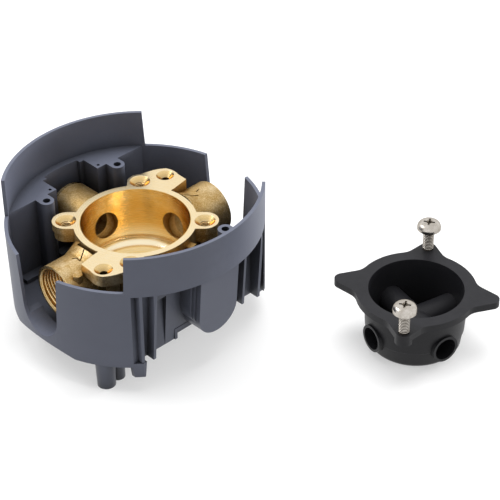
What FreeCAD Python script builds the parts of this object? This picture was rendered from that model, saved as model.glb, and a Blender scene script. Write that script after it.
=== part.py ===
import FreeCAD, Part
import math
import os

V = FreeCAD.Vector
UP = V(0, 0, 1)
os.makedirs("parts", exist_ok=True)

# Frame: origin at the centre of the bowl's mouth, on the machined rim plane.
# Sizes are in mm. Angles are in degrees, anticlockwise from +X seen from above.
# A recess is described by d, the distance from the axis towards its middle, and v, the offset across.

# where things point
RECESS_AT = (315, 135)
PIPE_AT = (225, 45)
PORT_Z = -18.5
HALF_TURN = (0.0, 180.0)

# housing shell
HOUSE_R_TOP = 69.9
HOUSE_R_FOOT = 69.2
HOUSE_WALL = 1.9
HOUSE_TOP = 3.8
HOUSE_FOOT = -45.2
FLOOR_T = 2.7
FLOOR_TOP = HOUSE_FOOT + FLOOR_T
ROOM_HALF = 48.5
LEDGE_T = 2.5
LEDGE_LOW = HOUSE_TOP - LEDGE_T
LEAN = 0.088

# recesses under the ledges, with ribs, fins and pockets
RECESS_D = 54.0
RECESS_FOOT = -42.0
SKIN_IN = 1.6
RIB_FOOT_IN = 0.5
FIN_V = 37.6
FIN_T = 1.7
FIN_D = 59.3
LOW_FIN_V = 27.25
LOW_FIN_T = 1.5
LOW_FIN_D = 58.0
RIB_V = 43.8
RIB_T = 1.2
GROOVE_V = 46.0
GROOVE_W = 3.4
POCKET_V = ((-36.75, -25.8), (28.0, 36.75))
POCKET_TOP = -8.0

# raised strips of the floor along the recesses
STEP_WIDTH = 3.9
STEP_D = ROOM_HALF - STEP_WIDTH
STEP_HALF = GROOVE_V - GROOVE_W / 2
STEP_WALL = 1.1
STEP_UP = 2.5
MID_STEP_HALF = 17.5
MID_STEP_UP = 7.3
MID_STEP_ROOF = 2.0
MID_STEP_OUT = 2.5
STEP_SKIN = 1.8

# closed tongues over the outlets
TONGUE_HALF = 13.3
TONGUE_CENTRE_Z = -26.1
TONGUE_D = 66.7
TONGUE_MID_HALF = 14.7
TONGUE_MID_Z = -21.5
TONGUE_MID_D = 63.6
TONGUE_STEP_HALF = 16.1
TONGUE_STEP_D = 62.0
CHANNEL_HALF = 14.6
CHANNEL_D = 60.4
CHANNEL_LOW_HALF = 11.7
CHANNEL_LOW_R = 60.9
CHANNEL_FROM = 38.0
CHANNEL_LEAN = 0.0564

# open pipe ways
PIPE_WAY_FROM = 54.0
NOTCH_HALF_TOP = 16.24
NOTCH_HALF_LOW = 14.0
NOTCH_CENTRE_Z = -24.5
CRADLE_WALL = 1.8
CRADLE_END = HOUSE_R_FOOT - 1.0
CRADLE_LEN = 10.6
CRADLE_D = CRADLE_END - CRADLE_LEN
PIER_DROP = 4.0
CRADLE_TOP = -32.5
SCALLOP_HALF = 26.0
SCALLOP_TOP = -41.3
SCALLOP_D = 59.5

# raised panels
PANEL_TOP = 25.4
PANEL_FLARE = 0.3
PANEL_FROM = -45.9
PANEL_TO = 46.0
PANEL_LEAN = 1.1
PANEL_LEAN_FAR = 1.8
PANEL_TRIM = 9.0

# bosses with holes on the ledges
BOSS_R = 4.1
BOSS_HOLE_R = 2.1
BOSS_HOLE_DEEP = 15.8
BOSS_D = ROOM_HALF - 4.6
BOSS_V = 25.2
PILOT_R = 0.9
PILOT_DEEP = 4.0
PILOT_D = ROOM_HALF + 2.4
PILOT_V = 17.2

# legs
STAND_Z = -62.5
LEG_SETS = ((62.8, 257.0, 5.0, 5.5), (55.5, 261.0, 4.0, 4.4), (54.0, 195.0, 4.0, 4.4))
LEG_ROOT = 1.0
KEEL_FOOT = -52.0
KEEL_V = -44.9
KEEL_HALF_TOP = 3.5
KEEL_HALF_LOW = 2.3
KEEL_D = (47.6, 53.5)

# brass bowl
RIM_R = 33.4
BOWL_R = 29.7
BOWL_DEPTH = 36.0
BOWL_FILLET = 6.0
BODY_FOOT = -39.8
PLATE_T = 6.7
SLOT_W = 1.8
SLOT_DEEP = 7.0
SLOT_HALF = 13.0

# ears
EAR_HALF = 7.7
EAR_REACH = 45.0
EAR_BAND = 4.4
EAR_T = 9.4
EAR_STEP_IN = 0.9
FIX_R = 37.5
FIX_HOLE_R = 3.0
FIX_SINK_R = 5.7

# lobes
SMALL_HOLE_R = 2.1
SMALL_SINK_R = 5.0
SMALL_AT = (13.6, 43.5)
LOBE_OUTLINE = (
    (-6.8, 30.0), (-7.0, 38.6), (-5.3, 42.0), (-0.4, 44.5), (5.0, 47.5), (10.5, 49.7),
    (13.8, 50.2), (17.4, 48.4), (20.8, 44.4), (25.5, 39.4), (16.9, 27.0))

# inlet sleeves and outlet stubs
SLEEVE_ROOT_R = 19.6
SLEEVE_R = 15.4
SLEEVE_ROOT_S = 29.0
SLEEVE_SHOULDER_S = 40.5
INLET_END = 56.0
INLET_THREAD_R = 13.22
INLET_THREAD_LEN = 15.0
MOUTH_BEVEL = 0.9
STUB_GAP = 0.3
STUB_R = CHANNEL_HALF - STUB_GAP
OUTLET_END = 57.6
OUTLET_THREAD_R = 10.48
OUTLET_THREAD_LEN = 14.0
PORT_R = 8.6
PORT_FROM_S = 33.0

# drilled ports in the bowl wall
DRILL_R = 7.7
DRILL_Z = -19.8
DRILL_SHIFT = 5.5
DRILL_TURN = 13.0
DRILL_DIP = 22.0
DRILL_BACK = 9.0
DRILL_ON = 6.5

# marks and lugs of the casting
MARK_W = 0.7
MARK_Z = -4.3
FRONT_MARKS = (((43.6, -0.7), (41.6, 0.6)), ((41.6, 0.6), (41.7, 3.4)), ((41.7, 3.4), (34.4, -1.2)))
BACK_MARKS = (((36.4, 1.3), (43.2, -3.1)), ((44.4, 0.2), (47.0, 0.8)))
LUG_TOP = -4.9
LUG_FOOT = -16.0
LUG_OUTLINE = ((45.5, 5.5), (51.0, 8.6), (52.2, 10.2), (50.2, 12.6), (47.4, 12.4), (45.5, 9.0))
TAB_AT = 331.0
TAB_REACH = 36.8
TAB_HALF = 2.3
TAB_TOP = -4.2
TAB_FOOT = -14.0

# hidden fixing under the floor
FOOT_AT_R = 24.0
FOOT_COUNT = 4
FOOT_PAD_R = 5.5
M4_CORE_R = 1.65
M4_HOLE_R = 2.15
M4_HEAD_R = 3.9
M4_HEAD_H = 2.6
M4_GRIP = 4.0
M4_TAP_DEEP = 5.0

# flushing insert, set down beside the body
INSERT_X = 150.5
INSERT_Y = -23.5
INSERT_TURN = -13.0
INSERT_TOP = -28.0
FLANGE_T = 4.0
FLANGE_R = 32.7
EAR_ROOT_HALF = 18.0
EAR_BLEND_R = 9.0
PLAIN_EAR_R = 44.6
PLAIN_EAR_TIP_R = 4.4
SCREW_EAR_R = 42.3
SCREW_EAR_TIP_R = 4.7
CUP_GAP = 1.7
CUP_R = BOWL_R - CUP_GAP
CUP_WALL = 2.2
CUP_STEP_Z = -51.6
CUP_STEP_R = 26.9
CUP_LOW_R = 26.3
CUP_EDGE_R = 25.4
CUP_EDGE_H = 2.8
CUP_SOLE_R = 22.3
CUP_FLOOR_T = 2.7
PASSAGE_Z = -50.5
PASSAGE_R = 6.3
PASSAGE_OUT_R = 7.8
PASSAGE_REACH = 28.4
PASSAGE_AT = (45.0, 135.0, 225.0, 315.0)
SCREW_GAP = 0.02
EAR_BOSS_H = 3.0

# the insert's two screws
SCREW_AT_FRONT = 270.0
SCREW_AT_BACK = 90.0
SCREW_CORE_R = 2.6
SCREW_TIP_R = 1.9
SCREW_TIP_LEN = 1.0
SCREW_SHOWN = 13.2
SCREW_LEN = 20.0
HEAD_R = 6.5
HEAD_H = 4.3
HEAD_ROUND = 3.2
CROSS_HALF = 3.1
CROSS_W = 1.1
CROSS_DEEP = 2.2

# helpers that reach past a shape, so that a cut or a joint is clean
OVER = 1.0
JOIN = 0.2
FAR = 90.0
PAST_WALL = HOUSE_R_TOP + OVER


def turned(shape, angle):
    out = shape.copy()
    out.rotate(V(0, 0, 0), UP, angle)
    return out


def post(r, z0, z1, x=0.0, y=0.0):
    return Part.makeCylinder(r, z1 - z0, V(x, y, z0), UP)


def taper(r0, r1, z0, z1, x=0.0, y=0.0):
    return Part.makeCone(r0, r1, z1 - z0, V(x, y, z0), UP)


def polar(r, angle):
    a = math.radians(angle)
    return r * math.cos(a), r * math.sin(a)


def block(x0, x1, y0, y1, z0, z1, angle=0.0):
    return turned(Part.makeBox(x1 - x0, y1 - y0, z1 - z0, V(x0, y0, z0)), angle)


def plan(points, z0, z1, angle=0.0):
    corners = [V(x, y, z0) for x, y in points]
    wire = Part.makePolygon(corners + corners[:1])
    return turned(Part.Face(wire).extrude(V(0, 0, z1 - z0)), angle)


def side_prism(points, v0, v1, angle):
    # outline in distance and height, swept across the direction
    corners = [V(d, v0, z) for d, z in points]
    wire = Part.makePolygon(corners + corners[:1])
    return turned(Part.Face(wire).extrude(V(0, v1 - v0, 0)), angle)


def end_prism(points, d0, d1, angle):
    # outline in offset and height, swept along the direction
    corners = [V(d0, v, z) for v, z in points]
    wire = Part.makePolygon(corners + corners[:1])
    return turned(Part.Face(wire).extrude(V(d1 - d0, 0, 0)), angle)


def trough(half_top, half_low, z_top, z_mid, d0, d1, angle):
    # U outline with a round foot, swept along the direction
    a = V(d0, -half_top, z_top)
    b = V(d0, -half_low, z_mid)
    c = V(d0, half_low, z_mid)
    d = V(d0, half_top, z_top)
    foot = Part.Arc(b, V(d0, 0, z_mid - half_low), c).toShape()
    edges = [Part.makeLine(a, b), foot, Part.makeLine(c, d), Part.makeLine(d, a)]
    return turned(Part.Face(Part.Wire(edges)).extrude(V(d1 - d0, 0, 0)), angle)


def beyond(d_top, angle, z1=LEDGE_LOW):
    # everything outside a plane that leans inward going down
    z0 = HOUSE_FOOT - 5.0
    low = d_top - LEAN * (LEDGE_LOW - z0)
    high = d_top - LEAN * (LEDGE_LOW - z1)
    return side_prism([(high, z1), (low, z0), (FAR, z0), (FAR, z1)], -FAR, FAR, angle)


def along(r0, r1, s0, s1, angle, z=PORT_Z):
    # round bar along a port direction
    dx, dy = polar(1.0, angle)
    start = V(dx * s0, dy * s0, z)
    if abs(r0 - r1) < 1e-6:
        return Part.makeCylinder(r0, s1 - s0, start, V(dx, dy, 0))
    return Part.makeCone(r0, r1, s1 - s0, start, V(dx, dy, 0))


def joined(shapes):
    return shapes[0].multiFuse(shapes[1:])


def flat_edges(shape, z):
    # closed edges that lie at one height
    found = []
    for e in shape.Edges:
        box = e.BoundBox
        if abs(box.ZMax - z) < 1e-4 and abs(box.ZMin - z) < 1e-4 and e.isClosed():
            found.append(e)
    return found


def rounded(shape, z, radius):
    return shape.makeFillet(radius, flat_edges(shape, z))


def export(shape, node):
    shape.exportStep("parts/" + node + ".step")


def house_cone(inset=0.0):
    return taper(HOUSE_R_FOOT - inset, HOUSE_R_TOP - inset, HOUSE_FOOT, HOUSE_TOP)


def tongue(angle):
    top = LEDGE_LOW + 0.1
    root = ROOM_HALF + JOIN
    low = trough(TONGUE_HALF, TONGUE_HALF, top, TONGUE_CENTRE_Z, root, PAST_WALL, angle)
    mid = trough(TONGUE_MID_HALF, TONGUE_MID_HALF, top, TONGUE_MID_Z, root, PAST_WALL, angle)
    step = trough(TONGUE_STEP_HALF, TONGUE_STEP_HALF, top, PORT_Z, root, PAST_WALL, angle)
    return joined([
        low.cut(beyond(TONGUE_D, angle, top + OVER)),
        mid.cut(beyond(TONGUE_MID_D, angle, top + OVER)),
        step.cut(beyond(TONGUE_STEP_D, angle, top + OVER)),
    ])


def channel(angle):
    top = HOUSE_TOP + OVER
    wide = trough(CHANNEL_HALF, CHANNEL_HALF, top, PORT_Z, CHANNEL_FROM, CHANNEL_D, angle)
    deep = trough(CHANNEL_LOW_HALF, CHANNEL_LOW_HALF, top, TONGUE_CENTRE_Z, CHANNEL_FROM, FAR, angle)
    rise = top - (HOUSE_FOOT - 5.0)
    reach = taper(CHANNEL_LOW_R, CHANNEL_LOW_R + rise * CHANNEL_LEAN, HOUSE_FOOT - 5.0, top)
    return wide.fuse(deep.common(reach))


def side_half(angle):
    # raised floor strips and the two hollow bosses of one side
    step_top = FLOOR_TOP + STEP_UP
    mid_top = FLOOR_TOP + MID_STEP_UP
    skin = STEP_SKIN
    parts = [
        block(STEP_D - skin, ROOM_HALF + JOIN, -STEP_HALF, STEP_HALF, FLOOR_TOP - JOIN, step_top, angle),
        block(STEP_D - skin, ROOM_HALF + MID_STEP_OUT, -MID_STEP_HALF - skin, MID_STEP_HALF + skin,
              FLOOR_TOP - JOIN, mid_top, angle),
    ]
    for side in (-1, 1):
        y = side * BOSS_V
        boss = post(BOSS_R, FLOOR_TOP - JOIN, HOUSE_TOP, BOSS_D, y)
        web = block(BOSS_D, ROOM_HALF + 0.5, y - BOSS_R, y + BOSS_R, FLOOR_TOP - JOIN, HOUSE_TOP)
        parts.append(turned(boss.fuse(web), angle))
    return parts


def fins(angle):
    outer = house_cone()
    root = ROOM_HALF + RIB_FOOT_IN
    top = LEDGE_LOW + 0.1
    out = []
    for v in (-FIN_V, FIN_V):
        fin = block(root, PAST_WALL, v - FIN_T / 2, v + FIN_T / 2, RECESS_FOOT, top, angle)
        out.append(fin.cut(beyond(FIN_D, angle, top + OVER)).common(outer))
    v = LOW_FIN_V
    low = block(root, PAST_WALL, v - LOW_FIN_T / 2, v + LOW_FIN_T / 2, RECESS_FOOT, top, angle)
    out.append(low.cut(beyond(LOW_FIN_D, angle, top + OVER)))
    for v in (-RIB_V, RIB_V):
        rib = block(root, PAST_WALL, v - RIB_T / 2, v + RIB_T / 2, RECESS_FOOT, top, angle)
        out.append(rib.common(outer))
    return out


def recess_cuts(angle):
    out = [beyond(RECESS_D, angle)]
    inner = ROOM_HALF + SKIN_IN
    low = HOUSE_FOOT - 5.0
    for v in (-GROOVE_V, GROOVE_V):
        out.append(block(inner, FAR, v - GROOVE_W / 2, v + GROOVE_W / 2, low, LEDGE_LOW, angle))
    return out


def under_cuts(angle):
    # the underside is raised outside the floor's straight edge
    low = HOUSE_FOOT - 5.0
    mid_top = FLOOR_TOP + MID_STEP_UP - MID_STEP_ROOF
    out = [
        block(STEP_D, FAR, -STEP_HALF + STEP_WALL, STEP_HALF - STEP_WALL, low, RECESS_FOOT, angle),
        block(STEP_D, FAR, -MID_STEP_HALF, MID_STEP_HALF, low, mid_top, angle),
    ]
    for v0, v1 in POCKET_V:
        pocket = block(ROOM_HALF + SKIN_IN, PAST_WALL, v0, v1, low, POCKET_TOP, angle)
        out.append(pocket.cut(beyond(RECESS_D + 0.1, angle, 0.0)))
    return out


def cradle(angle):
    # a low saddle inside the wall that carries the pipe way
    half = NOTCH_HALF_LOW + CRADLE_WALL
    saddle = trough(half, half, 0.0, NOTCH_CENTRE_Z, CRADLE_D, CRADLE_END, angle)
    pier = block(CRADLE_D, CRADLE_END, -half, half, FLOOR_TOP - JOIN, NOTCH_CENTRE_Z - PIER_DROP, angle)
    above = block(CRADLE_D - OVER, PAST_WALL, -half - OVER, half + OVER, CRADLE_TOP, OVER, angle)
    return saddle.fuse(pier).cut(above).common(house_cone())


def scallop(angle):
    # wide arch in the housing's foot under the pipe way
    foot = HOUSE_FOOT - OVER
    a = V(SCALLOP_D, -SCALLOP_HALF, foot)
    b = V(SCALLOP_D, 0, SCALLOP_TOP)
    c = V(SCALLOP_D, SCALLOP_HALF, foot)
    wire = Part.Wire([Part.Arc(a, b, c).toShape(), Part.makeLine(c, a)])
    return turned(Part.Face(wire).extrude(V(FAR - SCALLOP_D, 0, 0)), angle)


def panel(angle):
    top = PANEL_TOP + OVER
    ring = taper(HOUSE_R_TOP, HOUSE_R_TOP + PANEL_FLARE, HOUSE_TOP - 0.1, PANEL_TOP)
    inside = taper(HOUSE_R_TOP - HOUSE_WALL, HOUSE_R_TOP + PANEL_FLARE - HOUSE_WALL, HOUSE_TOP - OVER, top)
    ring = ring.cut(inside)
    first = angle + PANEL_FROM
    last = angle + PANEL_TO
    fan = [(0.0, 0.0)] + [polar(2 * FAR, t) for t in (first, angle, last)]
    ring = ring.common(plan(fan, 0.0, top))
    near = [(0.0, HOUSE_TOP), (PANEL_LEAN, top), (-PANEL_TRIM, top), (-PANEL_TRIM, HOUSE_TOP)]
    far = [(0.0, HOUSE_TOP), (-PANEL_LEAN_FAR, top), (PANEL_TRIM, top), (PANEL_TRIM, HOUSE_TOP)]
    ring = ring.cut(end_prism(near, ROOM_HALF, FAR, first))
    return ring.cut(end_prism(far, ROOM_HALF, FAR, last))


def legs(turn):
    out = []
    for reach, angle, r_low, r_top in LEG_SETS:
        x, y = polar(reach, angle + turn)
        out.append(taper(r_low, r_top, STAND_Z, HOUSE_FOOT + LEG_ROOT, x, y))
    high = RECESS_FOOT - 0.6
    keel = [(KEEL_V - KEEL_HALF_TOP, high), (KEEL_V + KEEL_HALF_TOP, high),
            (KEEL_V + KEEL_HALF_LOW, KEEL_FOOT), (KEEL_V - KEEL_HALF_LOW, KEEL_FOOT)]
    pad = end_prism(keel, KEEL_D[0], KEEL_D[1], RECESS_AT[0] + turn)
    inside = taper(HOUSE_R_FOOT - 0.4, HOUSE_R_FOOT, KEEL_FOOT, HOUSE_FOOT + 3.0)
    out.append(pad.common(inside))
    return out


def make_housing():
    room = taper(HOUSE_R_FOOT - HOUSE_WALL, HOUSE_R_TOP - HOUSE_WALL, FLOOR_TOP, HOUSE_TOP + OVER)
    room = room.common(block(-ROOM_HALF, ROOM_HALF, -FAR, FAR, -FAR, FAR, RECESS_AT[0]))
    body = house_cone().cut(room)

    recesses = []
    for a in RECESS_AT:
        recesses += recess_cuts(a)
    body = body.cut(joined(recesses))

    added = []
    for a in RECESS_AT:
        added += side_half(a)
        added += fins(a)
    body = joined([body] + added)

    cuts = []
    for a in RECESS_AT:
        cuts += under_cuts(a)
    body = body.cut(joined(cuts))

    body = joined([body] + [tongue(a) for a in RECESS_AT])
    body = body.cut(joined([channel(a) for a in RECESS_AT]))

    body = joined([body] + [cradle(a) for a in PIPE_AT])
    ways = []
    for a in PIPE_AT:
        top = HOUSE_TOP + 0.6
        ways.append(trough(NOTCH_HALF_TOP, NOTCH_HALF_LOW, top, NOTCH_CENTRE_Z, PIPE_WAY_FROM, FAR, a))
        ways.append(scallop(a))
    body = body.cut(joined(ways))

    body = joined([body] + [panel(a) for a in RECESS_AT])
    feet = []
    for turn in HALF_TURN:
        feet += legs(turn)
    body = joined([body] + feet)

    holes = []
    for a in RECESS_AT:
        for side in (-1, 1):
            low = HOUSE_TOP - BOSS_HOLE_DEEP
            boss_hole = post(BOSS_HOLE_R, low, HOUSE_TOP + OVER, BOSS_D, side * BOSS_V)
            pilot = post(PILOT_R, -PILOT_DEEP, HOUSE_TOP + OVER, PILOT_D, side * PILOT_V)
            holes.append(turned(boss_hole, a))
            holes.append(turned(pilot, a))
    for k in range(FOOT_COUNT):
        x, y = polar(FOOT_AT_R, 360.0 / FOOT_COUNT * k)
        holes.append(post(M4_HOLE_R, HOUSE_FOOT - OVER, FLOOR_TOP + OVER, x, y))
    body = body.cut(joined(holes))
    return body.removeSplitter()


def lobe(turn):
    # flat lobe of the casting with two countersunk holes
    p = [V(x, y, -PLATE_T) for x, y in LOBE_OUTLINE]
    edges = [
        Part.makeLine(p[0], p[1]),
        Part.Arc(p[1], p[2], p[3]).toShape(),
        Part.makeLine(p[3], p[4]),
        Part.Arc(p[4], p[5], p[6]).toShape(),
        Part.Arc(p[6], p[7], p[8]).toShape(),
        Part.makeLine(p[8], p[9]),
        Part.makeLine(p[9], p[10]),
        Part.makeLine(p[10], p[0]),
    ]
    return turned(Part.Face(Part.Wire(edges)).extrude(V(0, 0, PLATE_T)), turn)


def ear(turn):
    # round-ended ear with a slightly smaller second step under it
    middle = EAR_REACH - EAR_HALF
    low_half = EAR_HALF - EAR_STEP_IN
    band = block(RIM_R - 5.0, middle, -EAR_HALF, EAR_HALF, -EAR_BAND, 0.0)
    band = band.fuse(post(EAR_HALF, -EAR_BAND, 0.0, middle, 0.0))
    under = block(RIM_R - 5.0, middle, -low_half, low_half, -EAR_T, -EAR_BAND)
    under = under.fuse(post(low_half, -EAR_T, -EAR_BAND, middle, 0.0))
    return turned(band.fuse(under), turn)


def sleeve(angle):
    shoulder = along(SLEEVE_ROOT_R, SLEEVE_R, SLEEVE_ROOT_S, SLEEVE_SHOULDER_S, angle)
    pipe = along(SLEEVE_R, SLEEVE_R, SLEEVE_SHOULDER_S - 0.1, INLET_END, angle)
    return [shoulder, pipe]


def mark(a, b, angle):
    # one straight groove in the cast skin
    run = math.hypot(b[0] - a[0], b[1] - a[1])
    lean = math.degrees(math.atan2(b[1] - a[1], b[0] - a[0]))
    bar = block(0.0, run, -MARK_W / 2, MARK_W / 2, MARK_Z, 0.0, lean)
    bar.translate(V(a[0], a[1], 0))
    return turned(bar, angle)


def drilled_port(angle):
    # port drilled from inside the bowl, dipping outward
    side = 1 if 0.0 < angle < 180.0 else -1
    towards = 90.0 * side % 360.0
    bend = 1.0 if towards > angle else -1.0
    x, y = polar(BOWL_R, angle + bend * DRILL_SHIFT)
    dx, dy = polar(math.cos(math.radians(DRILL_DIP)), angle + bend * DRILL_TURN)
    way = V(dx, dy, -math.sin(math.radians(DRILL_DIP)))
    start = V(x, y, DRILL_Z) - way * DRILL_BACK
    return Part.makeCylinder(DRILL_R, DRILL_BACK + DRILL_ON, start, way)


def sunk_hole(hole_r, sink_r, x, y):
    hole = post(hole_r, -20.0, OVER, x, y)
    sink = taper(hole_r, sink_r, hole_r - sink_r, 0.0, x, y)
    return hole.fuse(sink)


def make_brass():
    solids = [rounded(post(RIM_R, BODY_FOOT, 0.0), BODY_FOOT, BOWL_FILLET)]
    for turn in HALF_TURN:
        solids.append(lobe(turn))
        solids.append(ear(turn))
    for a in PIPE_AT:
        solids += sleeve(a)
    for a in RECESS_AT:
        solids.append(along(STUB_R, STUB_R, SLEEVE_ROOT_S, OUTLET_END, a))
    solids.append(plan(list(LUG_OUTLINE), LUG_FOOT, LUG_TOP, PIPE_AT[0]))
    solids.append(block(RIM_R - OVER, TAB_REACH, -TAB_HALF, TAB_HALF, TAB_FOOT, TAB_TOP, TAB_AT))
    for k in range(FOOT_COUNT):
        x, y = polar(FOOT_AT_R, 360.0 / FOOT_COUNT * k)
        solids.append(post(FOOT_PAD_R, FLOOR_TOP, BODY_FOOT + OVER, x, y))
    body = joined(solids).common(post(FAR, -FAR, 0.0))

    cuts = [rounded(post(BOWL_R, -BOWL_DEPTH, OVER), -BOWL_DEPTH, BOWL_FILLET)]
    for a in PIPE_AT + RECESS_AT:
        cuts.append(drilled_port(a))
    for a in PIPE_AT:
        deep = INLET_END - INLET_THREAD_LEN
        cuts.append(along(PORT_R, PORT_R, PORT_FROM_S, deep + OVER, a))
        cuts.append(along(INLET_THREAD_R, INLET_THREAD_R, deep, INLET_END + OVER, a))
        mouth_r = INLET_THREAD_R + MOUTH_BEVEL
        cuts.append(along(INLET_THREAD_R, mouth_r, INLET_END - MOUTH_BEVEL, INLET_END, a))
    for a in RECESS_AT:
        deep = OUTLET_END - OUTLET_THREAD_LEN
        cuts.append(along(PORT_R, PORT_R, PORT_FROM_S, deep + OVER, a))
        cuts.append(along(OUTLET_THREAD_R, OUTLET_THREAD_R, deep, OUTLET_END + OVER, a))
    for a in (0.0, 90.0, 180.0, 270.0):
        x, y = polar(FIX_R, a)
        cuts.append(sunk_hole(FIX_HOLE_R, FIX_SINK_R, x, y))
    for turn in HALF_TURN:
        cuts.append(turned(sunk_hole(SMALL_HOLE_R, SMALL_SINK_R, SMALL_AT[0], SMALL_AT[1]), turn))
        # slot between the rim and the sleeve's shoulder
        slot = post(RIM_R + SLOT_W, -SLOT_DEEP, OVER).cut(post(RIM_R, -SLOT_DEEP - OVER, OVER * 2))
        middle = PIPE_AT[1]
        fan = [(0.0, 0.0)] + [polar(FAR, middle + t) for t in (-SLOT_HALF, 0.0, SLOT_HALF)]
        cuts.append(turned(slot.common(plan(fan, -SLOT_DEEP - OVER, OVER * 2)), turn))
    for a, b in FRONT_MARKS:
        cuts.append(mark(a, b, PIPE_AT[0]))
    for a, b in BACK_MARKS:
        cuts.append(mark(a, b, PIPE_AT[1]))
    for k in range(FOOT_COUNT):
        x, y = polar(FOOT_AT_R, 360.0 / FOOT_COUNT * k)
        cuts.append(post(M4_CORE_R, FLOOR_TOP - OVER, FLOOR_TOP + M4_TAP_DEEP, x, y))
    return body.cut(joined(cuts)).removeSplitter()


def make_body_screws():
    out = []
    foot = HOUSE_FOOT - M4_HEAD_H
    for k in range(FOOT_COUNT):
        x, y = polar(FOOT_AT_R, 360.0 / FOOT_COUNT * k)
        head = rounded(post(M4_HEAD_R, foot, HOUSE_FOOT, x, y), foot, 0.9)
        slot = block(x - 2.2, x + 2.2, y - 0.5, y + 0.5, foot - 0.4, foot + 1.3)
        cross = block(x - 0.5, x + 0.5, y - 2.2, y + 2.2, foot - 0.4, foot + 1.3)
        shank = post(M4_CORE_R, HOUSE_FOOT - 0.1, FLOOR_TOP + M4_GRIP, x, y)
        out.append(head.fuse(shank).cut(slot.fuse(cross)).removeSplitter())
    return Part.makeCompound(out)


def place_insert(shape):
    out = turned(shape, INSERT_TURN)
    out.translate(V(INSERT_X, INSERT_Y, 0))
    return out


def horn(angle, reach, tip_r, z0, z1):
    # pointed ear that runs out of the flange
    c = reach - tip_r
    root = polar(FLANGE_R - 0.05, EAR_ROOT_HALF)
    lean = math.atan2(root[1] - tip_r, c - root[0])
    touch = (c + tip_r * math.sin(lean), tip_r * math.cos(lean))
    side = [(20.0, -root[1]), (root[0], -root[1]), (touch[0], -touch[1]), touch, root, (20.0, root[1])]
    return turned(plan(side, z0, z1).fuse(post(tip_r, z0, z1, c, 0.0)), angle)


def make_flange(z0, z1):
    solids = [post(FLANGE_R, z0, z1)]
    for a in HALF_TURN:
        solids.append(horn(a, PLAIN_EAR_R, PLAIN_EAR_TIP_R, z0, z1))
        solids.append(horn(a + 90.0, SCREW_EAR_R, SCREW_EAR_TIP_R, z0, z1))
    plate = joined(solids).removeSplitter()
    corners = []
    for e in plate.Edges:
        box = e.BoundBox
        upright = box.ZLength > FLANGE_T * 0.9 and box.XLength < 0.01 and box.YLength < 0.01
        reach = math.hypot(box.Center.x, box.Center.y)
        if upright and abs(reach - FLANGE_R) < 0.6:
            corners.append(e)
    return plate.makeFillet(EAR_BLEND_R, corners)


def cup_outline(points, arc_at):
    # closed outline in radius and height, with one arc
    p = [V(r, 0, z) for r, z in points]
    edges = []
    k = 0
    while k < len(p) - 1:
        if k == arc_at:
            edges.append(Part.Arc(p[k], p[k + 1], p[k + 2]).toShape())
            k += 2
        else:
            edges.append(Part.makeLine(p[k], p[k + 1]))
            k += 1
    edges.append(Part.makeLine(p[-1], p[0]))
    return Part.Face(Part.Wire(edges)).revolve(V(0, 0, 0), UP, 360)


def make_insert():
    under = INSERT_TOP - FLANGE_T
    edge_z = STAND_Z + CUP_EDGE_H
    bulge = ((CUP_SOLE_R + CUP_EDGE_R) / 2 + 0.5, STAND_Z + 0.82)
    cup = cup_outline([
        (0.0, STAND_Z), (CUP_SOLE_R, STAND_Z), bulge, (CUP_EDGE_R, edge_z),
        (CUP_LOW_R, CUP_STEP_Z - 0.7), (CUP_STEP_R, CUP_STEP_Z), (CUP_R, under), (CUP_R, INSERT_TOP),
        (0.0, INSERT_TOP)], 1)
    solids = [cup, make_flange(under, INSERT_TOP)]
    for a in PASSAGE_AT:
        solids.append(along(PASSAGE_OUT_R, PASSAGE_OUT_R, 20.0, PASSAGE_REACH, a, PASSAGE_Z))
    for a in (SCREW_AT_FRONT, SCREW_AT_BACK):
        boss = post(SCREW_EAR_TIP_R, under - EAR_BOSS_H, under + JOIN, FIX_R, 0.0)
        web = block(CUP_STEP_R, FIX_R, -3.2, 3.2, under - EAR_BOSS_H, under + JOIN)
        solids.append(turned(boss.fuse(web), a))
    body = joined(solids)

    floor = STAND_Z + CUP_FLOOR_T
    room_low_r = CUP_EDGE_R - CUP_WALL
    room = cup_outline([
        (0.0, floor), (room_low_r - 3.0, floor), (room_low_r - 0.9, floor + 0.9), (room_low_r, floor + 3.0),
        (CUP_R - CUP_WALL, INSERT_TOP + OVER), (0.0, INSERT_TOP + OVER)], 1)
    # closed passages cross the floor from port to port and stay out of the cup's room
    ridges = []
    for a in (PASSAGE_AT[0], PASSAGE_AT[1]):
        ridges.append(along(PASSAGE_OUT_R, PASSAGE_OUT_R, -CUP_R, CUP_R, a, PASSAGE_Z))
        ridges.append(block(-CUP_R, CUP_R, -PASSAGE_OUT_R, PASSAGE_OUT_R, STAND_Z, PASSAGE_Z, a))
    body = body.cut(room.cut(joined(ridges)))

    cuts = []
    for a in (PASSAGE_AT[0], PASSAGE_AT[1]):
        cuts.append(along(PASSAGE_R, PASSAGE_R, -FAR, FAR, a, PASSAGE_Z))
    for a in (SCREW_AT_FRONT, SCREW_AT_BACK):
        x, y = polar(FIX_R, a)
        cuts.append(post(FIX_HOLE_R, under - EAR_BOSS_H - OVER, INSERT_TOP + OVER, x, y))
    return place_insert(body.cut(joined(cuts)).removeSplitter())


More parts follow.
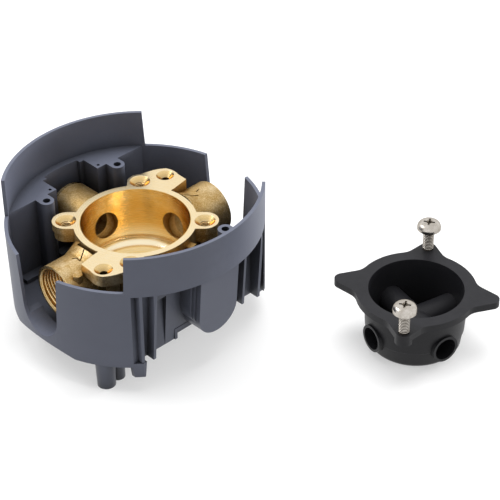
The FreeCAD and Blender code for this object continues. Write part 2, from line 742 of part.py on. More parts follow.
def make_flush_screw(angle):
    x, y = polar(FIX_R, angle)
    seat = INSERT_TOP + SCREW_SHOWN
    top = seat + HEAD_H
    end = seat - SCREW_LEN
    head = rounded(post(HEAD_R, seat, top, x, y), top, HEAD_ROUND)
    full_r = FIX_HOLE_R - SCREW_GAP
    core = post(SCREW_CORE_R, INSERT_TOP - JOIN, seat + 0.1, x, y)
    shank = post(full_r, end + SCREW_TIP_LEN, INSERT_TOP, x, y)
    tip = taper(SCREW_TIP_R, full_r, end, end + SCREW_TIP_LEN, x, y)
    low = top - CROSS_DEEP
    half = CROSS_W / 2
    arm = block(x - CROSS_HALF, x + CROSS_HALF, y - half, y + half, low, top + OVER)
    cross = block(x - half, x + half, y - CROSS_HALF, y + CROSS_HALF, low, top + OVER)
    middle = taper(CROSS_W * 0.8, CROSS_W * 1.5, low, top + 0.1, x, y)
    screw = joined([head, core, shank, tip]).cut(joined([arm, cross, middle]))
    return place_insert(screw.removeSplitter())


export(make_housing(), "housing")
export(make_brass(), "brass_body")
export(make_body_screws(), "body_screws")
export(make_insert(), "flush_insert")
export(make_flush_screw(SCREW_AT_FRONT), "flush_screw_front")
export(make_flush_screw(SCREW_AT_BACK), "flush_screw_back")
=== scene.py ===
import math

import bpy
from mathutils import Matrix, Vector


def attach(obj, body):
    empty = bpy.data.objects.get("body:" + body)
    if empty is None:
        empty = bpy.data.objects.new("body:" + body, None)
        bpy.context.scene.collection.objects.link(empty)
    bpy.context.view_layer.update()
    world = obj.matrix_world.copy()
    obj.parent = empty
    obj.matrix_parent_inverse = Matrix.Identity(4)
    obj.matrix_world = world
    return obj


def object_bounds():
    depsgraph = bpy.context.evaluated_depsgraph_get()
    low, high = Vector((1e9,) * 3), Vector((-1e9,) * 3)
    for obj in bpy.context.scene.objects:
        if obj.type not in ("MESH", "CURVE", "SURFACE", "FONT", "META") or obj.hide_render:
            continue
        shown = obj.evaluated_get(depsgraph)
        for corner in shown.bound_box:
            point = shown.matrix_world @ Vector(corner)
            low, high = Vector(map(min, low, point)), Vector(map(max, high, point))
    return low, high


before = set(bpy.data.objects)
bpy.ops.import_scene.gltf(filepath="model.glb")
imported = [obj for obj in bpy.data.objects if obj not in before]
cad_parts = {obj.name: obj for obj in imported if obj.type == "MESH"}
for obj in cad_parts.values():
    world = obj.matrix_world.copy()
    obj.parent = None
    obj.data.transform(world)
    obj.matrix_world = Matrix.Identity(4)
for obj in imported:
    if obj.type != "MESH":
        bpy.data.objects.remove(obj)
cad_low, cad_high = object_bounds()

MM = 0.001

# Sizes that the shapes below share with the frame, in metres
BOWL_RADIUS = 29.7 * MM
PORT_HEIGHT = -18.5 * MM
PIPE_THREAD_PITCH = 1.814 * MM
INLET_THREAD_WALL = 13.22 * MM
INLET_END = 56.0 * MM
OUTLET_THREAD_WALL = 10.48 * MM
OUTLET_END = 57.6 * MM
FIX_CIRCLE = 37.5 * MM
FIX_HOLE = 3.0 * MM
FIX_THREAD_PITCH = 1.0 * MM
FIX_SINK_DEPTH = 2.7 * MM
FIX_SINK_RADIUS = 5.9 * MM
SPARE_HOLE = (13.6 * MM, 43.5 * MM)
INSERT_TOP = -28.0 * MM
INSERT_CENTRE = Vector((150.5 * MM, -23.5 * MM, 0.0))
INSERT_TURN = math.radians(-13.0)
INLET_ANGLES = (225, 45)
OUTLET_ANGLES = (315, 135)

# Colours of the metals, as linear red, green, blue and alpha
CAST_SKIN = (0.58, 0.375, 0.13, 1.0)
CAST_STAIN = (0.42, 0.25, 0.065, 1.0)
# painted glint on the grit
CAST_PAINTED_GLINT = (0.95, 0.77, 0.46, 1.0)
# pale rubbed edges, partly a painted highlight
CAST_WEAR_AND_HIGHLIGHT = (0.97, 0.84, 0.58, 1.0)
# painted shade in the corners
CAST_PAINTED_SHADE = (0.30, 0.185, 0.06, 1.0)
CAST_GLANCE = (0.62, 0.36, 0.12, 1.0)
FACED_TOP = (0.97, 0.81, 0.52, 1.0)
FACED_TOP_STAIN = (0.92, 0.72, 0.42, 1.0)
BORED_BOWL = (0.84, 0.575, 0.20, 1.0)
BORED_BOWL_STAIN = (0.74, 0.47, 0.13, 1.0)
# painted highlight low in the bowl
BOWL_FLOOR_PAINTED_HIGHLIGHT = (0.97, 0.85, 0.60, 1.0)
SINK_CONE = (0.80, 0.58, 0.27, 1.0)
# painted shade deep in the countersinks
SINK_PAINTED_SHADE = (0.34, 0.21, 0.06, 1.0)
PORT_WALL = (0.82, 0.60, 0.28, 1.0)
THREAD_CREST = (0.96, 0.76, 0.44, 1.0)
THREAD_STAIN = (0.84, 0.58, 0.26, 1.0)
# painted shade in the thread roots
THREAD_ROOT_PAINTED_SHADE = (0.34, 0.20, 0.07, 1.0)
# painted shade in corners and thread roots of the plating
PLATING_PAINTED_SHADE = (0.10, 0.09, 0.08, 1.0)
PLATING_GLANCE = (0.55, 0.52, 0.48, 1.0)


# Node tree helpers

class Sheet:
    """Short calls for wiring one node tree."""

    def __init__(self, tree):
        self.tree = tree

    def add(self, kind, inputs=None, **settings):
        node = self.tree.nodes.new(kind)
        for name, value in settings.items():
            setattr(node, name, value)
        for name, value in (inputs or {}).items():
            self.feed(node.inputs[name], value)
        return node

    def feed(self, socket, value):
        if isinstance(value, bpy.types.NodeSocket):
            self.tree.links.new(value, socket)
        elif isinstance(value, bpy.types.Node):
            self.tree.links.new(value.outputs[0], socket)
        else:
            socket.default_value = value

    def math(self, operation, a, b=0.0, c=0.0, clamp=False):
        node = self.tree.nodes.new("ShaderNodeMath")
        node.operation = operation
        node.use_clamp = clamp
        for socket, value in zip(node.inputs, (a, b, c)):
            self.feed(socket, value)
        return node.outputs[0]

    def vector_math(self, operation, a, b=(0.0, 0.0, 0.0)):
        node = self.tree.nodes.new("ShaderNodeVectorMath")
        node.operation = operation
        self.feed(node.inputs[0], a)
        self.feed(node.inputs[1], b)
        return node.outputs["Value"] if operation in ("DOT_PRODUCT", "LENGTH") else node.outputs["Vector"]

    def noise(self, vector, scale, detail=3.0, roughness=0.5):
        node = self.add("ShaderNodeTexNoise", {
            "Vector": vector, "Scale": scale, "Detail": detail, "Roughness": roughness})
        return node.outputs["Fac"]

    def span(self, value, low, high, to_low=0.0, to_high=1.0):
        node = self.add("ShaderNodeMapRange", {
            "Value": value, "From Min": low, "From Max": high, "To Min": to_low, "To Max": to_high})
        return node.outputs["Result"]

    def mix(self, factor, a, b):
        node = self.add("ShaderNodeMix", data_type="RGBA")
        self.feed(node.inputs["Factor"], factor)
        self.feed(node.inputs[6], a)
        self.feed(node.inputs[7], b)
        return node.outputs[2]

    def blend(self, factor, a, b):
        node = self.add("ShaderNodeMix", data_type="FLOAT")
        self.feed(node.inputs["Factor"], factor)
        self.feed(node.inputs[2], a)
        self.feed(node.inputs[3], b)
        return node.outputs[0]


def new_group(name, inputs, outputs):
    """A shader node group with typed, named sockets."""
    tree = bpy.data.node_groups.new(name, "ShaderNodeTree")
    for label, kind, value in inputs:
        socket = tree.interface.new_socket(label, in_out="INPUT", socket_type=kind)
        if value is not None:
            socket.default_value = value
    for label, kind in outputs:
        tree.interface.new_socket(label, in_out="OUTPUT", socket_type=kind)
    sheet = Sheet(tree)
    return sheet, tree.nodes.new("NodeGroupInput"), tree.nodes.new("NodeGroupOutput")


def use_group(sheet, tree, **values):
    node = sheet.tree.nodes.new("ShaderNodeGroup")
    node.node_tree = tree
    for name, value in values.items():
        sheet.feed(node.inputs[name.replace("_", " ")], value)
    return node


def new_material(name):
    """A material with its Principled shader, and the Object coordinates."""
    material = bpy.data.materials.new(name)
    material.use_nodes = True
    sheet = Sheet(material.node_tree)
    shader = material.node_tree.nodes["Principled BSDF"]
    place = material.node_tree.nodes.new("ShaderNodeTexCoord").outputs["Object"]
    return material, sheet, shader, place


# Shared effects

def make_grain_group():
    """Fine spark-eroded mould texture: a height and a faint mottling."""
    sheet, given, out = new_group("mould_grain", [
        ("Place", "NodeSocketVector", None),
        ("Grain Size", "NodeSocketFloat", 2200.0),
        ("Mottle Size", "NodeSocketFloat", 45.0)],
        [("Height", "NodeSocketFloat"), ("Mottle", "NodeSocketFloat")])
    fine = sheet.noise(given.outputs["Place"], given.outputs["Grain Size"], 2.0, 0.6)
    coarse = sheet.noise(given.outputs["Place"], given.outputs["Mottle Size"], 4.0, 0.55)
    sheet.feed(out.inputs["Height"], fine)
    sheet.feed(out.inputs["Mottle"], sheet.span(coarse, 0.3, 0.7))
    return sheet.tree


def make_wear_and_highlight_group():
    """Pale handling marks on raised edges, partly a painted highlight, from the mesh's pointiness and noise.
    """
    sheet, given, out = new_group("edge_wear_and_highlight", [
        ("Place", "NodeSocketVector", None),
        ("From", "NodeSocketFloat", 0.52),
        ("To", "NodeSocketFloat", 0.60)],
        [("Wear_And_Highlight", "NodeSocketFloat")])
    point = sheet.add("ShaderNodeNewGeometry").outputs["Pointiness"]
    edge = sheet.span(point, given.outputs["From"], given.outputs["To"])
    broken = sheet.span(sheet.noise(given.outputs["Place"], 220.0, 4.0, 0.6), 0.35, 0.65)
    sheet.feed(out.inputs["Wear_And_Highlight"], sheet.math("MULTIPLY", edge, broken))
    return sheet.tree


def make_scratch_group():
    """Long hair lines in one direction, stretched noise."""
    sheet, given, out = new_group("hair_lines", [
        ("Place", "NodeSocketVector", None),
        ("Stretch", "NodeSocketVector", (60.0, 60.0, 2600.0))],
        [("Line", "NodeSocketFloat")])
    scaled = sheet.vector_math("MULTIPLY", given.outputs["Place"], given.outputs["Stretch"])
    line = sheet.noise(scaled, 1.0, 3.0, 0.6)
    sheet.feed(out.inputs["Line"], line)
    return sheet.tree


GRAIN = make_grain_group()
WEAR_AND_HIGHLIGHT = make_wear_and_highlight_group()
HAIR_LINES = make_scratch_group()


# Materials

def shaded_corners(sheet, reach, colour, corner, shut_at=0.35, open_at=0.95):
    """Painted shade: mixes a colour towards a darker one where other faces stand close by."""
    open_sky = sheet.add("ShaderNodeAmbientOcclusion", {"Distance": reach}, samples=8)
    shut = sheet.span(open_sky.outputs["AO"], shut_at, open_at, 1.0, 0.0)
    return sheet.mix(shut, colour, corner)


def moulded_plastic(name, colour, pale, painted_shade, roughness, shine, grain_depth, grain_size):
    """Satin moulded plastic with mould grain, mottling, rubbed edges that are partly a painted highlight,
    and painted shade in gaps and deep inside.
    """
    material, sheet, shader, place = new_material(name)
    grain = use_group(sheet, GRAIN, Place=place, Grain_Size=grain_size)
    wear_and_highlight = use_group(sheet, WEAR_AND_HIGHLIGHT, Place=place)
    mottled = sheet.mix(sheet.math("MULTIPLY", grain.outputs["Mottle"], 0.35), colour, pale)
    # pale rubbed edges, which are also a painted highlight on the thin edges
    worn_with_highlight = sheet.mix(sheet.math("MULTIPLY", wear_and_highlight.outputs["Wear_And_Highlight"], 0.35), mottled, pale)
    # painted shade: darker in narrow gaps, and darker still deep inside where faces stand close
    painted_gap_shade = sheet.mix(0.6, worn_with_highlight, painted_shade)
    gap_shaded = shaded_corners(sheet, 9.0 * MM, worn_with_highlight, painted_gap_shade, 0.30, 0.85)
    sheet.feed(shader.inputs["Base Color"], shaded_corners(sheet, 32.0 * MM, gap_shaded, painted_shade, 0.15, 0.85))
    shader.inputs["Specular IOR Level"].default_value = shine
    rough = sheet.blend(grain.outputs["Mottle"], roughness - 0.03, roughness + 0.05)
    sheet.feed(shader.inputs["Roughness"], rough)
    bump = sheet.add("ShaderNodeBump", {
        "Strength": 0.35, "Distance": grain_depth, "Height": grain.outputs["Height"]})
    sheet.feed(shader.inputs["Normal"], bump.outputs["Normal"])
    return material


# Noise scales of the brass, per metre
SKIN_SCALE = 900.0
GRIT_SCALE = 1700.0
DENT_SCALE = 260.0
STAIN_SCALE = 70.0
RING_SCALE = 3600.0

# How far the masks of the machined faces reach past them or into them
TOP_MARGIN = 0.15 * MM
BOWL_MARGIN = 0.3 * MM
THREAD_MARGIN = 0.2 * MM
END_MARGIN = 0.1 * MM
PORT_MASK_DEPTH = 16.0 * MM

# Heights between which the painted highlight low in the bowl and the painted shade deep in the countersinks
# come in
BOWL_HIGHLIGHT_SPAN = (-22.0 * MM, -29.0 * MM)
SINK_SHADE_SPAN = (-1.0 * MM, -5.0 * MM)


def slant(sheet, a, b):
    """The long side of the right triangle on a and b."""
    squares = sheet.math("ADD", sheet.math("MULTIPLY", a, a), sheet.math("MULTIPLY", b, b))
    return sheet.math("SQRT", squares)


def sunk_holes(sheet, side_x, side_y):
    """Mask of the countersunk holes, on places folded onto one eighth of the round."""
    long_side = sheet.math("MAXIMUM", side_x, side_y)
    short_side = sheet.math("MINIMUM", side_x, side_y)
    from_hole = slant(sheet, sheet.math("SUBTRACT", long_side, FIX_CIRCLE), short_side)
    spare_short, spare_long = SPARE_HOLE
    from_spare = slant(sheet, sheet.math("SUBTRACT", long_side, spare_long),
                       sheet.math("SUBTRACT", short_side, spare_short))
    return sheet.math("LESS_THAN", sheet.math("MINIMUM", from_hole, from_spare), FIX_SINK_RADIUS)


def port_walls(sheet, side_x, side_y, height):
    """Mask of the threaded bores and their end faces. The ports lie on the diagonals."""
    along = sheet.math("MULTIPLY", sheet.math("ADD", side_x, side_y), math.sqrt(0.5))
    across = sheet.math("MULTIPLY", sheet.math("SUBTRACT", side_x, side_y), math.sqrt(0.5))
    from_axis = slant(sheet, across, sheet.math("SUBTRACT", height, PORT_HEIGHT))
    near_axis = sheet.math("LESS_THAN", from_axis, INLET_THREAD_WALL + THREAD_MARGIN)
    far_out = sheet.math("GREATER_THAN", along, INLET_END - PORT_MASK_DEPTH)
    end_face = sheet.math("GREATER_THAN", along, INLET_END - END_MARGIN)
    return sheet.math("MAXIMUM", sheet.math("MULTIPLY", near_axis, far_out), end_face)


def cut_brass_colour(sheet, stain, height, on_top, in_bowl, sunk, ports):
    """Colour of the machined faces: rim and ears, bowl, countersinks and port mouths, with a painted
    highlight low in the bowl and painted shade deep in the countersinks.
    """
    light_stain = sheet.math("MULTIPLY", stain, 0.5)
    top = sheet.mix(light_stain, FACED_TOP, FACED_TOP_STAIN)
    bowl = sheet.mix(light_stain, BORED_BOWL, BORED_BOWL_STAIN)
    # painted highlight: paler low in the bowl
    bowl = sheet.mix(sheet.span(height, *BOWL_HIGHLIGHT_SPAN), bowl, BOWL_FLOOR_PAINTED_HIGHLIGHT)
    # painted shade: darker deep in the countersinks
    shaded_cone = sheet.mix(sheet.span(height, *SINK_SHADE_SPAN), SINK_CONE, SINK_PAINTED_SHADE)
    colour = sheet.mix(in_bowl, top, bowl)
    below_top = sheet.math("SUBTRACT", 1.0, on_top)
    colour = sheet.mix(sheet.math("MULTIPLY", sunk, below_top), colour, shaded_cone)
    return sheet.mix(ports, colour, PORT_WALL)


def brass_material():
    """Cast brass: blasted skin outside with painted glints, machined rim, bowl, countersinks and port
    mouths, and painted shade in its corners.
    """
    material, sheet, shader, place = new_material("cast_brass")
    parts = sheet.add("ShaderNodeSeparateXYZ", {"Vector": place})
    height = parts.outputs["Z"]
    side_x = sheet.math("ABSOLUTE", parts.outputs["X"])
    side_y = sheet.math("ABSOLUTE", parts.outputs["Y"])
    radius = slant(sheet, side_x, side_y)
    on_top = sheet.math("GREATER_THAN", height, -TOP_MARGIN)
    in_bowl = sheet.math("LESS_THAN", radius, BOWL_RADIUS + BOWL_MARGIN)
    sunk = sunk_holes(sheet, side_x, side_y)
    ports = port_walls(sheet, side_x, side_y, height)
    faced = sheet.math("MAXIMUM", on_top, in_bowl)
    machined = sheet.math("MAXIMUM", faced, sheet.math("MAXIMUM", sunk, ports))
    # tool rings on the turned faces
    ring_place = sheet.add("ShaderNodeCombineXYZ", {
        "X": sheet.math("MULTIPLY", radius, RING_SCALE), "Z": sheet.math("MULTIPLY", height, RING_SCALE)})
    rings = sheet.noise(ring_place.outputs["Vector"], 1.0, 1.0, 0.5)
    # blasted casting skin, with painted glints on the grit
    skin = sheet.noise(place, SKIN_SCALE, 5.0, 0.65)
    grit = sheet.noise(place, GRIT_SCALE, 2.0, 0.6)
    dents = sheet.noise(place, DENT_SCALE, 3.0, 0.5)
    relief = sheet.math("ADD", sheet.math("MULTIPLY", skin, 0.7), sheet.math("MULTIPLY", dents, 0.7))
    relief = sheet.math("ADD", relief, sheet.math("MULTIPLY", grit, 0.5))
    stain = sheet.span(sheet.noise(place, STAIN_SCALE, 5.0, 0.6), 0.35, 0.7)
    # painted glints: bright specks on the grit
    painted_glints = sheet.math("MULTIPLY", sheet.span(grit, 0.46, 0.62), 0.5)
    cast_colour = sheet.mix(painted_glints, sheet.mix(stain, CAST_SKIN, CAST_STAIN), CAST_PAINTED_GLINT)
    cut_colour = cut_brass_colour(sheet, stain, height, on_top, in_bowl, sunk, ports)
    wear_and_highlight = use_group(sheet, WEAR_AND_HIGHLIGHT, Place=place)
    colour = sheet.mix(machined, cast_colour, cut_colour)
    # pale rubbed edges, partly a painted highlight
    colour = sheet.mix(sheet.math("MULTIPLY", wear_and_highlight.outputs["Wear_And_Highlight"], 0.6), colour, CAST_WEAR_AND_HIGHLIGHT)
    # painted shade in the corners outside the bowl
    outside = sheet.math("SUBTRACT", 1.0, in_bowl)
    shaded = shaded_corners(sheet, 5.0 * MM, colour, CAST_PAINTED_SHADE)
    colour = sheet.mix(sheet.math("MULTIPLY", outside, 0.8), colour, shaded)
    sheet.feed(shader.inputs["Base Color"], colour)
    shader.inputs["Metallic"].default_value = 1.0
    shader.inputs["Specular Tint"].default_value = CAST_GLANCE
    rough_cut = sheet.span(rings, 0.3, 0.7, 0.23, 0.29)
    rough_cast = sheet.span(skin, 0.3, 0.7, 0.42, 0.60)
    sheet.feed(shader.inputs["Roughness"], sheet.blend(machined, rough_cast, rough_cut))
    surface = sheet.blend(machined, relief, sheet.math("MULTIPLY", rings, 0.02))
    bump = sheet.add("ShaderNodeBump", {"Strength": 0.7, "Distance": 0.30 * MM, "Height": surface})
    sheet.feed(shader.inputs["Normal"], bump.outputs["Normal"])
    return material


def thread_brass_material():
    """Freshly cut brass thread, with painted shade in its roots."""
    material, sheet, shader, place = new_material("cut_brass")
    stain = sheet.span(sheet.noise(place, 180.0, 4.0, 0.6), 0.35, 0.7)
    colour = sheet.mix(stain, THREAD_CREST, THREAD_STAIN)
    # painted shade in the thread roots
    sheet.feed(shader.inputs["Base Color"], shaded_corners(sheet, 0.9 * MM, colour, THREAD_ROOT_PAINTED_SHADE))
    shader.inputs["Metallic"].default_value = 1.0
    fine = sheet.noise(place, 3000.0, 2.0, 0.5)
    sheet.feed(shader.inputs["Roughness"], sheet.span(fine, 0.3, 0.7, 0.20, 0.34))
    bump = sheet.add("ShaderNodeBump", {"Strength": 0.25, "Distance": 0.04 * MM, "Height": fine})
    sheet.feed(shader.inputs["Normal"], bump.outputs["Normal"])
    return material


def plated_material(name, colour, dull, roughness):
    """Bright plated steel with faint hair lines, a little dulling and painted shade in its corners and
    thread roots.
    """
    material, sheet, shader, place = new_material(name)
    lines = use_group(sheet, HAIR_LINES, Place=place)
    cloud = sheet.span(sheet.noise(place, 320.0, 4.0, 0.6), 0.35, 0.7)
    blank = sheet.mix(cloud, colour, dull)
    # painted shade in the thread roots and corners
    sheet.feed(shader.inputs["Base Color"], shaded_corners(sheet, 0.9 * MM, blank, PLATING_PAINTED_SHADE))
    shader.inputs["Metallic"].default_value = 1.0
    shader.inputs["Specular Tint"].default_value = PLATING_GLANCE
    rough = sheet.blend(cloud, roughness, roughness + 0.12)
    sheet.feed(shader.inputs["Roughness"], rough)
    bump = sheet.add("ShaderNodeBump", {
        "Strength": 0.2, "Distance": 0.02 * MM, "Height": lines.outputs["Line"]})
    sheet.feed(shader.inputs["Normal"], bump.outputs["Normal"])
    return material


GREY_PLASTIC = moulded_plastic(
    "grey_moulding", colour=(0.104, 0.113, 0.150, 1.0), pale=(0.130, 0.141, 0.184, 1.0),
    painted_shade=(0.020, 0.021, 0.024, 1.0), roughness=0.42, shine=0.35, grain_depth=0.05 * MM, grain_size=2600.0)
BLACK_PLASTIC = moulded_plastic(
    "black_moulding", colour=(0.009, 0.009, 0.011, 1.0), pale=(0.020, 0.020, 0.023, 1.0),
    painted_shade=(0.009, 0.009, 0.010, 1.0), roughness=0.44, shine=0.27, grain_depth=0.14 * MM, grain_size=1500.0)
BRASS = brass_material()
CUT_BRASS = thread_brass_material()
PLATED = plated_material(
    "plated_steel", colour=(0.66, 0.62, 0.57, 1.0), dull=(0.44, 0.40, 0.35, 1.0), roughness=0.20)
ZINC = plated_material(
    "zinc_steel", colour=(0.70, 0.72, 0.75, 1.0), dull=(0.55, 0.57, 0.60, 1.0), roughness=0.30)

FINISHES = {
    "housing": GREY_PLASTIC,
    "brass_body": BRASS,
    "body_screws": ZINC,
    "flush_insert": BLACK_PLASTIC,
    "flush_screw_front": PLATED,
    "flush_screw_back": PLATED,
}
EDGE_ROUND = {"housing": 0.35 * MM, "brass_body": 0.30 * MM, "flush_insert": 0.45 * MM}
SHARP_FROM = math.radians(38.0)


def round_edges(node_object, width):
    """Rounds the sharp edges of a moulded or cast piece."""
    soft = node_object.modifiers.new("edge_round", "BEVEL")
    soft.width = width
    soft.segments = 2
    soft.limit_method = "ANGLE"
    soft.angle_limit = SHARP_FROM
    soft.use_clamp_overlap = True
    soft.harden_normals = True


for node_name, finish in FINISHES.items():
    node_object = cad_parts[node_name]
    node_object.data.materials.clear()
    node_object.data.materials.append(finish)
    if node_name in EDGE_ROUND:
        round_edges(node_object, EDGE_ROUND[node_name])


# Threads, by geometry nodes

def make_thread_tree():
    """A helical ridge round +Z: radius, pitch, turns and ridge size are inputs."""
    tree = bpy.data.node_groups.new("thread_ridge", "GeometryNodeTree")
    face = tree.interface
    face.new_socket("Geometry", in_out="INPUT", socket_type="NodeSocketGeometry")
    for label, value in (("Radius", 0.01), ("Pitch", 0.001), ("Turns", 5.0), ("Ridge", 0.0005)):
        face.new_socket(label, in_out="INPUT", socket_type="NodeSocketFloat").default_value = value
    face.new_socket("Finish", in_out="INPUT", socket_type="NodeSocketMaterial")
    face.new_socket("Geometry", in_out="OUTPUT", socket_type="NodeSocketGeometry")
    sheet = Sheet(tree)
    given = tree.nodes.new("NodeGroupInput")
    out = tree.nodes.new("NodeGroupOutput")
    rise = sheet.math("MULTIPLY", given.outputs["Pitch"], given.outputs["Turns"])
    spiral = sheet.add("GeometryNodeCurveSpiral", {
        "Resolution": 56, "Rotations": given.outputs["Turns"], "Start Radius": given.outputs["Radius"],
        "End Radius": given.outputs["Radius"], "Height": rise})
    ring = sheet.add("GeometryNodeCurvePrimitiveCircle", {"Resolution": 8, "Radius": given.outputs["Ridge"]})
    swept = sheet.add("GeometryNodeCurveToMesh", {
        "Curve": spiral.outputs["Curve"], "Profile Curve": ring.outputs["Curve"], "Fill Caps": True})
    smooth = sheet.add("GeometryNodeSetShadeSmooth", {"Geometry": swept.outputs["Mesh"]})
    real = sheet.add("GeometryNodeRealizeInstances", {"Geometry": smooth.outputs["Geometry"]})
    painted = sheet.add("GeometryNodeSetMaterial", {
        "Geometry": real.outputs["Geometry"], "Material": given.outputs["Finish"]})
    tree.links.new(painted.outputs["Geometry"], out.inputs["Geometry"])
    return tree


THREAD_TREE = make_thread_tree()


def socket_id(tree, label):
    for item in tree.interface.items_tree:
        if item.item_type == "SOCKET" and item.in_out == "INPUT" and item.name == label:
            return item.identifier
    raise KeyError(label)


def grown(name, tree, values, places, finish):
    """Evaluates a tree once and copies its mesh to each place, as one plain piece."""
    holder = bpy.data.objects.new(name + "_source", bpy.data.meshes.new(name + "_source"))
    bpy.context.scene.collection.objects.link(holder)
    modifier = holder.modifiers.new("shape", "NODES")
    modifier.node_group = tree
    for label, value in values.items():
        modifier[socket_id(tree, label)] = value
    modifier[socket_id(tree, "Finish")] = finish
    bpy.context.view_layer.update()
    evaluated = holder.evaluated_get(bpy.context.evaluated_depsgraph_get())
    source = bpy.data.meshes.new_from_object(evaluated)
    holder.modifiers.clear()
    bpy.data.objects.remove(holder)
    copies = []
    for place in places:
        copy = source.copy()
        copy.transform(place)
        part = bpy.data.objects.new(name, copy)
        bpy.context.scene.collection.objects.link(part)
        copies.append(part)
    piece = copies[0]
    if len(copies) > 1:
        with bpy.context.temp_override(active_object=piece, selected_editable_objects=copies):
            bpy.ops.object.join()
    piece.name = name
    piece.data.name = name
    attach(piece, "root")
    return piece


def port_place(angle, start):
    """Turns +Z to the port's outward direction and moves it to a distance."""
    turn = math.radians(angle)
    outward = Vector((math.cos(turn), math.sin(turn), 0.0))
    rotation = outward.to_track_quat("Z", "Y").to_matrix().to_4x4()
    return Matrix.Translation(outward * start + Vector((0.0, 0.0, PORT_HEIGHT))) @ rotation


def upright_place(x, y, z):
    return Matrix.Translation(Vector((x, y, z)))


INLET_THREAD_START = INLET_END - 14.6 * MM
OUTLET_THREAD_START = OUTLET_END - 13.6 * MM
PIPE_RIDGE = 0.62 * MM
FIX_RIDGE = 0.42 * MM
FIX_THREAD_DEPTH = 3.5 * MM
SCREW_WALL = 2.66 * MM
SCREW_RIDGE = 0.36 * MM
SCREW_THREAD_RISE = 0.5 * MM

grown("inlet_threads", THREAD_TREE,
      {"Radius": INLET_THREAD_WALL, "Pitch": PIPE_THREAD_PITCH, "Turns": 7.2, "Ridge": PIPE_RIDGE},
      [port_place(angle, INLET_THREAD_START) for angle in INLET_ANGLES], CUT_BRASS)
grown("outlet_threads", THREAD_TREE,
      {"Radius": OUTLET_THREAD_WALL, "Pitch": PIPE_THREAD_PITCH, "Turns": 7.0, "Ridge": PIPE_RIDGE},
      [port_place(angle, OUTLET_THREAD_START) for angle in OUTLET_ANGLES], CUT_BRASS)


def on_fix_circle(angle):
    """A place on the circle of the four fixing screws."""
    turn = math.radians(angle)
    return Vector((FIX_CIRCLE * math.cos(turn), FIX_CIRCLE * math.sin(turn), 0.0))


fix_spots = [on_fix_circle(angle) for angle in (0, 90, 180, 270)]
grown("fixing_threads", THREAD_TREE,
      {"Radius": FIX_HOLE, "Pitch": FIX_THREAD_PITCH, "Turns": 3.3, "Ridge": FIX_RIDGE},
      [upright_place(spot.x, spot.y, -FIX_SINK_DEPTH - FIX_THREAD_DEPTH) for spot in fix_spots],
      CUT_BRASS)

insert_turn = Matrix.Rotation(INSERT_TURN, 3, "Z")
screw_spots = [INSERT_CENTRE + insert_turn @ on_fix_circle(angle) for angle in (90, 270)]
grown("flush_screw_threads", THREAD_TREE,
      {"Radius": SCREW_WALL, "Pitch": FIX_THREAD_PITCH, "Turns": 12.3, "Ridge": SCREW_RIDGE},
      [upright_place(spot.x, spot.y, INSERT_TOP + SCREW_THREAD_RISE) for spot in screw_spots],
      PLATED)


# Floor, light and camera

WHITE = (1.0, 1.0, 1.0, 1.0)
FLOOR_HEIGHT = cad_low.z
FLOOR_HALF = 6.0
FLOOR_PALE = (0.93, 0.93, 0.93, 1.0)
FLOOR_BOUNCE = (0.45, 0.45, 0.45, 1.0)
SHADOW_HAZE = 0.45
SHADOW_REACH = 0.40
WORLD_FILL = 0.6
LIGHT_AIM = Vector((0.05, 0.0, -0.02))
LIGHT_DISTANCE = 1.3


def white_for_camera(sheet, lit, output):
    """Plain white in reflections and far away, and the lit floor under a white haze near the part."""
    path = sheet.add("ShaderNodeLightPath")
    seen = sheet.math("MAXIMUM", path.outputs["Is Glossy Ray"], path.outputs["Is Transmission Ray"])
    white = sheet.add("ShaderNodeEmission", {"Color": WHITE, "Strength": 1.0})
    place = sheet.add("ShaderNodeTexCoord").outputs["Object"]
    reach = sheet.vector_math("LENGTH", place)
    far = sheet.span(reach, SHADOW_REACH, 2.5 * SHADOW_REACH, SHADOW_HAZE, 1.0)
    haze = sheet.math("MULTIPLY", path.outputs["Is Camera Ray"], far)
    mixed = sheet.add("ShaderNodeMixShader", {"Fac": sheet.math("MAXIMUM", seen, haze)})
    sheet.tree.links.new(lit, mixed.inputs[1])
    sheet.tree.links.new(white.outputs[0], mixed.inputs[2])
    sheet.tree.links.new(mixed.outputs[0], output)


def make_floor():
    """A wide pale floor under the lowest leg. It throws less light back than the camera sees."""
    mesh = bpy.data.meshes.new("floor")
    sides = ((-1, -1), (1, -1), (1, 1), (-1, 1))
    corners = [(x * FLOOR_HALF, y * FLOOR_HALF, FLOOR_HEIGHT) for x, y in sides]
    mesh.from_pydata(corners, [], [(0, 1, 2, 3)])
    floor = bpy.data.objects.new("floor", mesh)
    bpy.context.scene.collection.objects.link(floor)
    material = bpy.data.materials.new("pale_floor")
    material.use_nodes = True
    nodes = material.node_tree.nodes
    sheet = Sheet(material.node_tree)
    shader = nodes["Principled BSDF"]
    onward = sheet.add("ShaderNodeLightPath").outputs["Is Diffuse Ray"]
    sheet.feed(shader.inputs["Base Color"], sheet.mix(onward, FLOOR_PALE, FLOOR_BOUNCE))
    shader.inputs["Roughness"].default_value = 0.9
    shader.inputs["Specular IOR Level"].default_value = 0.1
    white_for_camera(sheet, shader.outputs[0], nodes["Material Output"].inputs["Surface"])
    mesh.materials.append(material)


def make_world():
    """White to the camera and in reflections, and a softer fill for matt faces."""
    world = bpy.data.worlds.new("studio")
    bpy.context.scene.world = world
    world.use_nodes = True
    sheet = Sheet(world.node_tree)
    path = sheet.add("ShaderNodeLightPath")
    seen = sheet.math("MAXIMUM", path.outputs["Is Camera Ray"], path.outputs["Is Transmission Ray"])
    seen = sheet.math("MAXIMUM", seen, path.outputs["Is Glossy Ray"])
    background = world.node_tree.nodes["Background"]
    background.inputs["Color"].default_value = WHITE
    sheet.feed(background.inputs["Strength"], sheet.blend(seen, WORLD_FILL, 1.0))


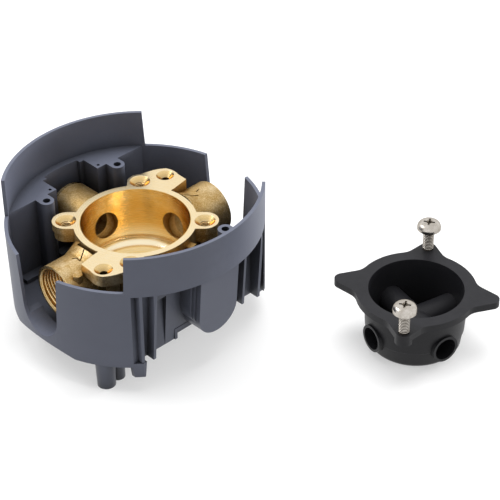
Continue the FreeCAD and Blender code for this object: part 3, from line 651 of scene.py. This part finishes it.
def softbox(name, azimuth, height_angle, width, height, power, in_metal):
    """A rectangular light on a circle round the object, aimed at its middle."""
    data = bpy.data.lights.new(name, "AREA")
    data.shape = "RECTANGLE"
    data.size = width
    data.size_y = height
    data.energy = power
    lamp = bpy.data.objects.new(name, data)
    bpy.context.scene.collection.objects.link(lamp)
    turn = math.radians(azimuth)
    rise = math.radians(height_angle)
    way = Vector((math.cos(turn) * math.cos(rise), math.sin(turn) * math.cos(rise), math.sin(rise)))
    lamp.location = LIGHT_AIM + way * LIGHT_DISTANCE
    lamp.rotation_euler = (-way).to_track_quat("-Z", "Y").to_euler()
    lamp.visible_glossy = in_metal


make_floor()
make_world()
softbox("overhead", azimuth=60.0, height_angle=82.0, width=0.9, height=0.9, power=16.0, in_metal=False)
softbox("upper_left", azimuth=165.0, height_angle=48.0, width=0.5, height=0.5, power=6.0, in_metal=True)
softbox("right_side", azimuth=38.0, height_angle=7.0, width=0.6, height=0.2, power=22.0, in_metal=False)

# The photograph's view, fitted on the round rims
CAMERA_PLACE = Vector((83.87 * MM, -800.77 * MM, 567.96 * MM))
CAMERA_AZIMUTH = math.radians(-1.61)
CAMERA_TILT = math.radians(36.27)
CAMERA_ROLL = math.radians(1.01)
FOCAL_PIXELS = 1830.4
IMAGE_PIXELS = 500.0


def make_camera():
    """A camera at the photograph's place, turned by azimuth, tilt and roll."""
    level_right = Vector((math.cos(CAMERA_AZIMUTH), -math.sin(CAMERA_AZIMUTH), 0.0))
    forward = Vector((math.sin(CAMERA_AZIMUTH) * math.cos(CAMERA_TILT),
                      math.cos(CAMERA_AZIMUTH) * math.cos(CAMERA_TILT), -math.sin(CAMERA_TILT)))
    level_up = level_right.cross(forward)
    right = level_right * math.cos(CAMERA_ROLL) - level_up * math.sin(CAMERA_ROLL)
    up = level_up * math.cos(CAMERA_ROLL) + level_right * math.sin(CAMERA_ROLL)
    data = bpy.data.cameras.new("photo_camera")
    data.sensor_width = 36.0
    data.lens = FOCAL_PIXELS * data.sensor_width / IMAGE_PIXELS
    data.clip_start = 0.05
    data.clip_end = 20.0
    camera = bpy.data.objects.new("photo_camera", data)
    bpy.context.scene.collection.objects.link(camera)
    camera.matrix_world = Matrix((
        (right.x, up.x, -forward.x, CAMERA_PLACE.x),
        (right.y, up.y, -forward.y, CAMERA_PLACE.y),
        (right.z, up.z, -forward.z, CAMERA_PLACE.z),
        (0.0, 0.0, 0.0, 1.0)))
    return camera


bpy.context.scene.camera = make_camera()
bpy.context.scene.view_settings.view_transform = "Standard"
